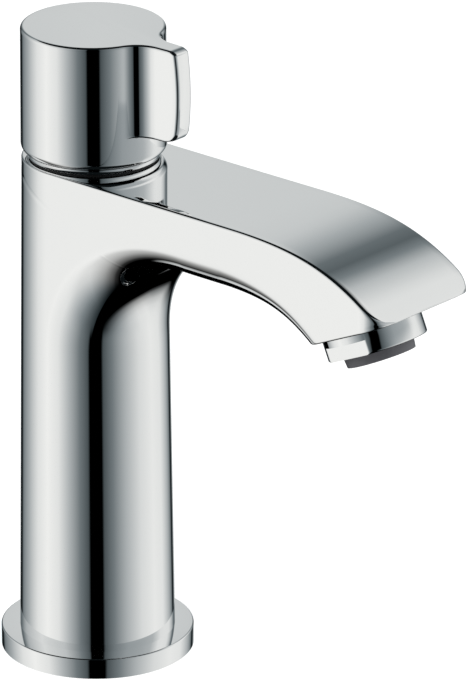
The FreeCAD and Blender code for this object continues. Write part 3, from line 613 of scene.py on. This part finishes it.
# %% Shader maths as expressions


class Flow:
    """A socket of a node tree, with the arithmetic that adds Math nodes."""

    def __init__(self, tree, socket=None):
        self.tree = tree
        self.socket = socket

    def node(self, kind, settings=None, inputs=None, output=0):
        made = self.tree.nodes.new(kind)
        for name, value in (settings or {}).items():
            if name == "stops":
                elements = made.color_ramp.elements
                elements.remove(elements[1])
                elements[0].position, elements[0].color = value[0]
                for place, colour in value[1:]:
                    elements.new(place).color = colour
            else:
                setattr(made, name, value)
        for name, value in (inputs or {}).items():
            if isinstance(value, Flow):
                self.tree.links.new(value.socket, made.inputs[name])
            else:
                made.inputs[name].default_value = value
        return Flow(self.tree, made.outputs[output]) if len(made.outputs) else made

    def maths(self, operation, first, second=0.0):
        return self.node("ShaderNodeMath", {"operation": operation}, {0: first, 1: second})

    def __add__(self, other):
        return self.maths("ADD", self, other)

    def __radd__(self, other):
        return self.maths("ADD", other, self)

    def __sub__(self, other):
        return self.maths("SUBTRACT", self, other)

    def __rsub__(self, other):
        return self.maths("SUBTRACT", other, self)

    def __mul__(self, other):
        return self.maths("MULTIPLY", self, other)

    def __rmul__(self, other):
        return self.maths("MULTIPLY", other, self)


def new_material(name):
    material = bpy.data.materials.new(name)
    material.use_nodes = True
    material.node_tree.nodes.clear()
    return material, Flow(material.node_tree)


scratch = bpy.data.node_groups.new("scratch", "ShaderNodeTree")
mask = Flow(scratch).node("ShaderNodeTexNoise")
trial = 1 - mask * 2
print("1 - mask * 2 ends in", trial.socket.node.name, "of", len(scratch.nodes), "nodes")
bpy.data.node_groups.remove(scratch)

# %% [markdown]
# The outside is polished chrome: nearly a mirror, with no grain and hardly any
# roughness. Inside are turned brass, stainless steel, rubber, ceramic and plastic. One
# recipe serves them all. A slow noise mixes two close colours, and a fine noise varies
# the roughness and the height a little, as machining, moulding or handling would. They
# differ only in their numbers.

# %% A recipe for every finish
CLOUD_SCALE, CLOUD_DETAIL, GRAIN_DETAIL = 60.0, 3.0, 4.0
BUMP_DISTANCE = 0.0001


def surface(name, base, second, metallic, roughness, spread, grain, bump):
    """A finish with a little variation in colour, roughness and height."""
    material, flow = new_material(name)
    place = flow.node("ShaderNodeTexCoord", output="Object")
    cloud = flow.node("ShaderNodeTexNoise", {},
                      {"Vector": place, "Scale": CLOUD_SCALE, "Detail": CLOUD_DETAIL})
    fine = flow.node("ShaderNodeTexNoise", {},
                     {"Vector": place, "Scale": grain, "Detail": GRAIN_DETAIL})
    colour = flow.node("ShaderNodeMix", {"data_type": "RGBA"},
                       {0: cloud, 6: base + (1,), 7: second + (1,)}, output=2)
    normal = flow.node("ShaderNodeBump", {},
                       {"Height": fine, "Strength": bump, "Distance": BUMP_DISTANCE})
    shader = flow.node("ShaderNodeBsdfPrincipled", {},
                       {"Base Color": colour, "Metallic": metallic,
                        "Roughness": roughness + (fine - 0.5) * spread, "Normal": normal})
    flow.node("ShaderNodeOutputMaterial", {}, {"Surface": shader})
    return material


print("the fine noise shifts a height by", BUMP_DISTANCE / MM, "mm at most")

# %% Finishes
# slot: name, two colours, metallic, roughness and its spread, scale and strength of the grain
RECIPES = {
    "chrome": ("polished_chrome", (0.975, 0.975, 0.975), (0.965, 0.967, 0.97),
               1.0, 0.03, 0.02, 900.0, 0.0),
    "brass": ("turned_brass", (0.62, 0.44, 0.16), (0.55, 0.38, 0.13),
              1.0, 0.3, 0.15, 700.0, 0.1),
    "steel": ("stainless_steel", (0.55, 0.55, 0.54), (0.5, 0.5, 0.5),
              1.0, 0.32, 0.12, 800.0, 0.1),
    "seal_rubber": ("black_rubber", (0.02, 0.02, 0.02), (0.03, 0.03, 0.03),
                    0.0, 0.6, 0.2, 1500.0, 0.3),
    "outlet_rubber": ("grey_outlet", (0.19, 0.185, 0.2), (0.17, 0.165, 0.18),
                      0.0, 0.5, 0.15, 1500.0, 0.2),
    "ceramic": ("white_ceramic", (0.8, 0.79, 0.76), (0.77, 0.76, 0.73),
                0.0, 0.2, 0.1, 900.0, 0.05),
    "pale_plastic": ("pale_plastic", (0.75, 0.74, 0.7), (0.7, 0.69, 0.66),
                     0.0, 0.4, 0.15, 900.0, 0.1),
    "dark_plastic": ("dark_plastic", (0.006, 0.006, 0.006), (0.009, 0.009, 0.009),
                     0.0, 0.5, 0.15, 900.0, 0.1),
}
finishes = {slot: surface(*recipe) for slot, recipe in RECIPES.items()}
print("finishes:", [material.name for material in finishes.values()])

# %% [markdown]
# Each CAD node comes with a plain material named after its slot. The finish of the same
# slot takes its place, and the node's mesh isn't touched. Every node could have a
# material of its own, but shared ones keep all the brass alike and are changed in one
# place. The pieces made above are all parts of the chromed outside.

# %% Dress every node and piece
for name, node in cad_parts.items():
    for slot in node.material_slots:
        label = slot.material.name.split(".")[0] if slot.material else None
        if label in finishes:
            slot.material = finishes[label]
        print(name, "is", label)
for piece in (casting, handle, flange, collar, boss):
    piece.data.materials.append(finishes["chrome"])

# %% [markdown]
# The camera stands where the photograph was taken from, a little above the tap and far
# away with a long lens, which keeps the upright lines nearly parallel. Its place and aim
# were found by laying the outlines of the column, the foot plate and the spout over the
# photograph's. The frame is taller than wide, so the sensor is fitted to its height.

# %% Camera
CAMERA_PLACE, CAMERA_AIM = (-1.3099, -1.1877, 0.7842), (0.7020, 0.6105, -0.3668)


def look_along(direction):
    """The rotation that points a camera or a lamp along a direction, with Z up."""
    return Vector(direction).to_track_quat("-Z", "Y").to_euler()


camera_data = bpy.data.cameras.new("camera")
camera_data.sensor_fit = "VERTICAL"
camera_data.sensor_height = 36.0
camera_data.lens = 377.57
camera_data.clip_end = 50.0
camera = bpy.data.objects.new("camera", camera_data)
camera.location = CAMERA_PLACE
camera.rotation_euler = look_along(CAMERA_AIM)
bpy.context.scene.collection.objects.link(camera)
bpy.context.scene.camera = camera
print("the camera is", round(camera.location.length, 2), "m from the tap's foot")

# %% [markdown]
# Chrome has no colour of its own: it shows the room. The studio therefore is painted
# into the world shader, by direction alone, so it stays right from every side and at
# every pose. Panels could be built as meshes round the tap, but then each would cast
# light on the floor and show in other views. A direction is split into a turn round the
# tap, 0 towards the camera, and a height, the sine of its tilt.

# %% Directions of the surround
VIEW = math.radians(-137.8)
world = bpy.data.worlds.new("studio")
bpy.context.scene.world = world
world.use_nodes = True
world.node_tree.nodes.clear()
sky = Flow(world.node_tree)
direction = sky.node("ShaderNodeTexCoord", output="Generated")
split = sky.node("ShaderNodeSeparateXYZ", {}, {0: direction})
east, north, height = (Flow(sky.tree, split.socket.node.outputs[k]) for k in range(3))
circle = sky.maths("FRACT", (sky.maths("ARCTAN2", north, east) - VIEW) * (0.5 / math.pi) + 1.5)


def degrees(turn):
    """A turn in degrees as a share of the full circle, 0.5 towards the camera's side."""
    return turn / 360 + 0.5


print("the camera's side is at", degrees(0), "of the circle")

# %% [markdown]
# The brightness of each direction comes from colour ramps. Their stops are written as
# display values from 0 to 255, and one function turns them into the linear colours that
# Blender works with. It allows for chrome that takes a fortieth of the light, and makes
# the mid greys slightly cool, as daylight does.

# %% Ramps of brightness
CHROME = 0.975
CAST_RED = (0, 30, 130, 235), (0, -8, -8, -0.5)
CAST_BLUE = (0, 30, 140, 200, 235), (0, 3, 3, 0, -2)


def light(brightness):
    """A display brightness as a linear colour, cool in the mid greys, neutral in the whites."""
    red = brightness + np.interp(brightness, *CAST_RED)
    blue = brightness + np.interp(brightness, *CAST_BLUE)
    shares = [value / 255 / CHROME for value in (red, brightness, blue)]
    return tuple(((share + 0.055) / 1.055) ** 2.4 if share > 0.04 else share / 12.92
                 for share in shares) + (1,)


def ramp(position, stops):
    """A colour ramp of display brightnesses."""
    return sky.node("ShaderNodeValToRGB",
                    {"stops": [(place, light(value)) for place, value in stops]}, {0: position})


def panorama(stops):
    """A ramp round the tap, with its stops in degrees."""
    return ramp(circle, [(degrees(turn), value) for turn, value in stops])


print("a display value of 128 is", [round(share, 3) for share in light(128)])

# %% [markdown]
# At the tap's own height stand two long soft panels with a narrow dark gap towards the
# camera and darker corners far behind. The gap gives the chrome its dark middle lines,
# and the soft ends give the greys beside them. A second ramp, the crown, holds above the
# horizon, where the panels are calmer, and the two are blended over the height.

# %% Walls and crown
walls = panorama((
    (-180, 190), (-168, 80), (-161, 15), (-153, 22), (-146, 118), (-125, 165), (-100, 220),
    (-80, 235), (-60, 222), (-42, 175), (-25, 115), (-12, 76), (-10.5, 0), (9, 0), (11, 76),
    (25, 117), (45, 172), (70, 213), (95, 228), (115, 222), (135, 170), (146, 118), (151, 22),
    (158, 30), (165, 150), (174, 215), (180, 190)))
crown = panorama((
    (-180, 202), (-175, 196), (-170, 165), (-164, 115), (-156, 95), (-148, 120), (-130, 175),
    (-90, 215), (-50, 190), (-25, 120), (-12, 80), (-10, 0), (9, 0), (11, 75), (25, 118),
    (45, 150), (70, 162), (88, 175), (105, 218), (115, 222), (130, 219), (142, 182), (150, 124),
    (156, 94), (162, 108), (170, 165), (175, 196), (180, 202)))


def blend(share, first, second, kind="MIX"):
    return sky.node("ShaderNodeMix", {"data_type": "RGBA", "blend_type": kind},
                    {0: share, 6: first, 7: second}, output=2)


def between(low, high):
    """0 below one tilt in degrees, 1 above the other, smooth in between."""
    return sky.node("ShaderNodeMapRange", {"interpolation_type": "SMOOTHSTEP"},
                    {0: height, 1: math.sin(math.radians(low)),
                     2: math.sin(math.radians(high)), 3: 0.0, 4: 1.0})


pattern = blend(between(2, 17), walls, crown)
print("walls and crown:", len(world.node_tree.nodes), "nodes so far")

# %% [markdown]
# The underside of the spout looks down, at the foot of the panels and the dark bench
# between them. Each panel ends in a soft straight edge, which a dot product with one
# direction gives, and the inner edge of the left one leans as it goes down. One small
# bright patch, low at the back, lights the edge of the belly.

# %% Soft straight edges
DISPLAY_GAMMA = 2.2


def fade(position, stops):
    """A ramp of factors, given as shares of the display brightness."""
    return sky.node("ShaderNodeValToRGB",
                    {"stops": [(place, (share ** DISPLAY_GAMMA,) * 3 + (1,))
                               for place, share in stops]}, {0: position})


def towards(turn, tilt):
    """How far a direction agrees with one that is turned from the camera's side and tilted."""
    turn, tilt = VIEW + math.radians(turn), math.radians(tilt)
    one = (math.cos(turn) * math.cos(tilt), math.sin(turn) * math.cos(tilt), math.sin(tilt))
    return sky.node("ShaderNodeVectorMath", {"operation": "DOT_PRODUCT"},
                    {0: direction, 1: one}, output=1)


print("half of the display brightness is", round(0.5 ** DISPLAY_GAMMA, 3), "of the light")

# %% Left panel below the tap
LEAN_FROM, LEAN_TO = (-0.42, -8.3), (-0.83, -3.5)
LEAN_SHARPNESS = 180.0
left_low = panorama((
    (-180, 0), (-150, 0), (-140, 100), (-130, 235), (-84, 234), (-70, 227), (-60, 212),
    (-50, 187), (-40, 158), (-30, 127), (-20, 95), (-12, 68), (-6, 46), (-3, 40), (0, 0)))
left_edge = fade(towards(-26, 12.4) * 0.5 + 0.5, (
    (0.425, 0.0), (0.47, 0.2), (0.5, 0.37), (0.53, 0.47), (0.56, 0.58), (0.6, 0.72),
    (0.645, 0.83), (0.7, 0.95), (0.8, 1.0)))
lean = sky.node("ShaderNodeMapRange", {},
                {0: height, 1: LEAN_FROM[0], 2: LEAN_TO[0],
                 3: degrees(LEAN_FROM[1]), 4: degrees(LEAN_TO[1])})
inner_edge = fade((lean - circle) * LEAN_SHARPNESS + 0.5, ((0.5, 0.0), (1.0, 1.0)))
left_panel = blend(1.0, blend(1.0, left_low, left_edge, "MULTIPLY"), inner_edge, "MULTIPLY")
print("with the left panel:", len(world.node_tree.nodes), "nodes")

# %% Right panel and bright patch
right_low = panorama((
    (-180, 0), (8.5, 0), (11, 62), (25, 117), (40, 155), (60, 195), (80, 219), (100, 226),
    (120, 214), (140, 160), (152, 40), (160, 0)))
right_edge = fade(towards(76, 27.6) * 0.5 + 0.5, (
    (0.48, 0.0), (0.5, 0.38), (0.52, 0.62), (0.54, 0.72), (0.575, 0.87), (0.625, 0.97),
    (0.675, 1.0)))
right_panel = blend(1.0, right_low, right_edge, "MULTIPLY")
patch = ramp(towards(-128, -43), ((0.0, 0), (0.972, 0), (0.99, 200), (1.0, 215)))
under = blend(1.0, blend(1.0, left_panel, right_panel, "LIGHTEN"), patch, "LIGHTEN")
pattern = blend(between(-38, -27), under, pattern)
print("with both panels and the patch:", len(world.node_tree.nodes), "nodes")

# %% [markdown]
# Straight up the studio is dark, which keeps the flat tops from burning out. The world
# alone can't know that the tap hides the room from itself: a ray that already bounced
# in the root of the spout would still find a bright panel. So shade is painted into the
# world: Light Path's Glossy Depth turns black the rays that look down after two or more
# bounces, and all rays after four or more. The camera itself sees plain white behind
# the tap.

# %% Ceiling, painted bounce shade and white background
CEILING, CEILING_FROM, CEILING_FULL = 16, 0.655, 0.73
BOUNCED, LOW_BOUNCE, MANY_BOUNCES = 1.5, -0.4, 3.5
ceiling = sky.node("ShaderNodeMapRange", {"interpolation_type": "SMOOTHSTEP"},
                   {0: towards(-60, 84), 1: CEILING_FROM, 2: CEILING_FULL, 3: 0.0, 4: 1.0})
pattern = blend(ceiling, pattern, light(CEILING))
bounces = sky.node("ShaderNodeLightPath", output="Glossy Depth")
# painted shade: bounced rays that look down, and rays after many bounces, turn black
painted_low_shade = (sky.maths("GREATER_THAN", bounces, BOUNCED)
              * sky.maths("LESS_THAN", height, LOW_BOUNCE))
painted_bounce_shade = sky.maths("MAXIMUM", painted_low_shade, sky.maths("GREATER_THAN", bounces, MANY_BOUNCES))
pattern = blend(painted_bounce_shade, pattern, light(0))
is_camera = sky.node("ShaderNodeLightPath", output="Is Camera Ray")
shown = blend(is_camera, pattern, (1.0, 1.0, 1.0, 1))
background = sky.node("ShaderNodeBackground", {}, {"Color": shown, "Strength": 1.0})
sky.node("ShaderNodeOutputWorld", {}, {"Surface": background})
print("the world has", len(world.node_tree.nodes), "nodes")

# %% [markdown]
# The floor is a plain pale sheet a tenth of a millimetre under the foot plate, so that
# the two faces don't fight. It takes the tap's shadow like matt paper, and a little glow
# that only the camera sees brings it near the white behind. The chrome doesn't see the
# floor, because the world already holds what it shows there.

# %% Floor
FLOOR_SIZE, FLOOR_DROP, FLOOR_GREY, FLOOR_GLOW = 6.0, 0.0001, 0.8, 0.75
bm = bmesh.new()
bmesh.ops.create_grid(bm, x_segments=2, y_segments=2, size=FLOOR_SIZE)
bmesh.ops.translate(bm, verts=bm.verts, vec=(0, 0, -FLOOR_DROP))
floor_mesh = bpy.data.meshes.new("floor")
bm.to_mesh(floor_mesh)
bm.free()
floor = bpy.data.objects.new("floor", floor_mesh)
bpy.context.scene.collection.objects.link(floor)
floor.visible_glossy = False
white_floor, paint = new_material("white_floor")
diffuse = paint.node("ShaderNodeBsdfDiffuse", {}, {"Color": (FLOOR_GREY,) * 3 + (1,)})
seen = paint.node("ShaderNodeLightPath", output="Is Camera Ray")
glow = paint.node("ShaderNodeEmission", {}, {"Color": (1, 1, 1, 1), "Strength": seen * FLOOR_GLOW})
both = paint.node("ShaderNodeAddShader", {}, {0: diffuse, 1: glow})
paint.node("ShaderNodeOutputMaterial", {}, {"Surface": both})
floor_mesh.materials.append(white_floor)
print("floor", 2 * FLOOR_SIZE, "m wide")

# %% [markdown]
# Two large area lamps make the soft shadow and light what isn't chrome, a key from the
# camera's left and a weaker fill from its right. The chrome would show them as bright
# squares, so they are kept out of reflections. The Standard view shows colours as they
# are written.

# %% Lamps
AIM = Vector((0, 0, 0.09))


def area_light(name, place, size, power):
    data = bpy.data.lights.new(name, "AREA")
    data.size = size
    data.energy = power
    lamp = bpy.data.objects.new(name, data)
    lamp.location = place
    lamp.rotation_euler = look_along(AIM - Vector(place))
    bpy.context.scene.collection.objects.link(lamp)
    lamp.visible_glossy = False
    print(name, "is", round((AIM - Vector(place)).length, 2), "m away")


area_light("soft_key", (-1.2, -0.4, 1.8), 1.2, 18.0)
area_light("soft_fill", (0.9, -1.4, 1.2), 1.4, 10.0)
bpy.context.scene.view_settings.view_transform = "Standard"
